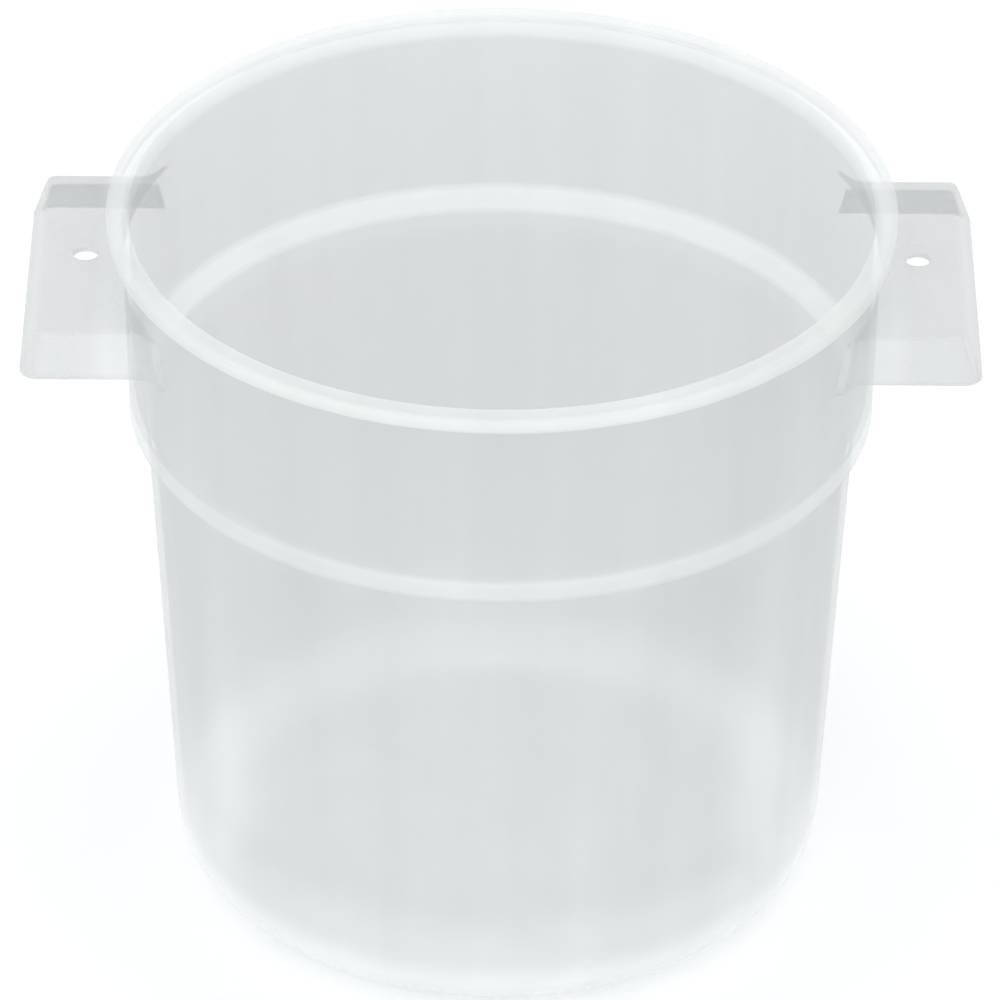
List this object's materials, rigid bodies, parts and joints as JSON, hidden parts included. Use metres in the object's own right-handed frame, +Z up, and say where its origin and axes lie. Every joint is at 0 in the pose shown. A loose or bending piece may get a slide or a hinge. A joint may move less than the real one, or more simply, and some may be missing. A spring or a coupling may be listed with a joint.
{
  "type": "round dough proofing container",
  "caption": "Round open-top food container of milky translucent plastic with a flanged rim, a wider upper band over a tapered body, and flared side handles with a hole.",
  "frame": {"origin": "centre of the face that the container stands on", "axes": "+Z up along the container's axis; +X from the centre through the right handle, -X through the left handle; -Y towards the viewer of the picture"},
  "size_m": [0.3912, 0.324, 0.314],
  "materials": {
    "milky_polypropylene": "translucent natural polypropylene, smooth moulded surface with a soft gloss"
  },
  "bodies": {
    "root": {"rim_flange": "milky_polypropylene", "rim_lip": "milky_polypropylene", "upper_band": "milky_polypropylene", "shoulder_ring": "milky_polypropylene", "lower_wall": "milky_polypropylene", "base_heel": "milky_polypropylene", "base_floor": "milky_polypropylene", "gate_mark": "milky_polypropylene", "left_handle_plate": "milky_polypropylene", "left_handle_skirt": "milky_polypropylene", "right_handle_plate": "milky_polypropylene", "right_handle_skirt": "milky_polypropylene"}
  },
  "joints": []
}
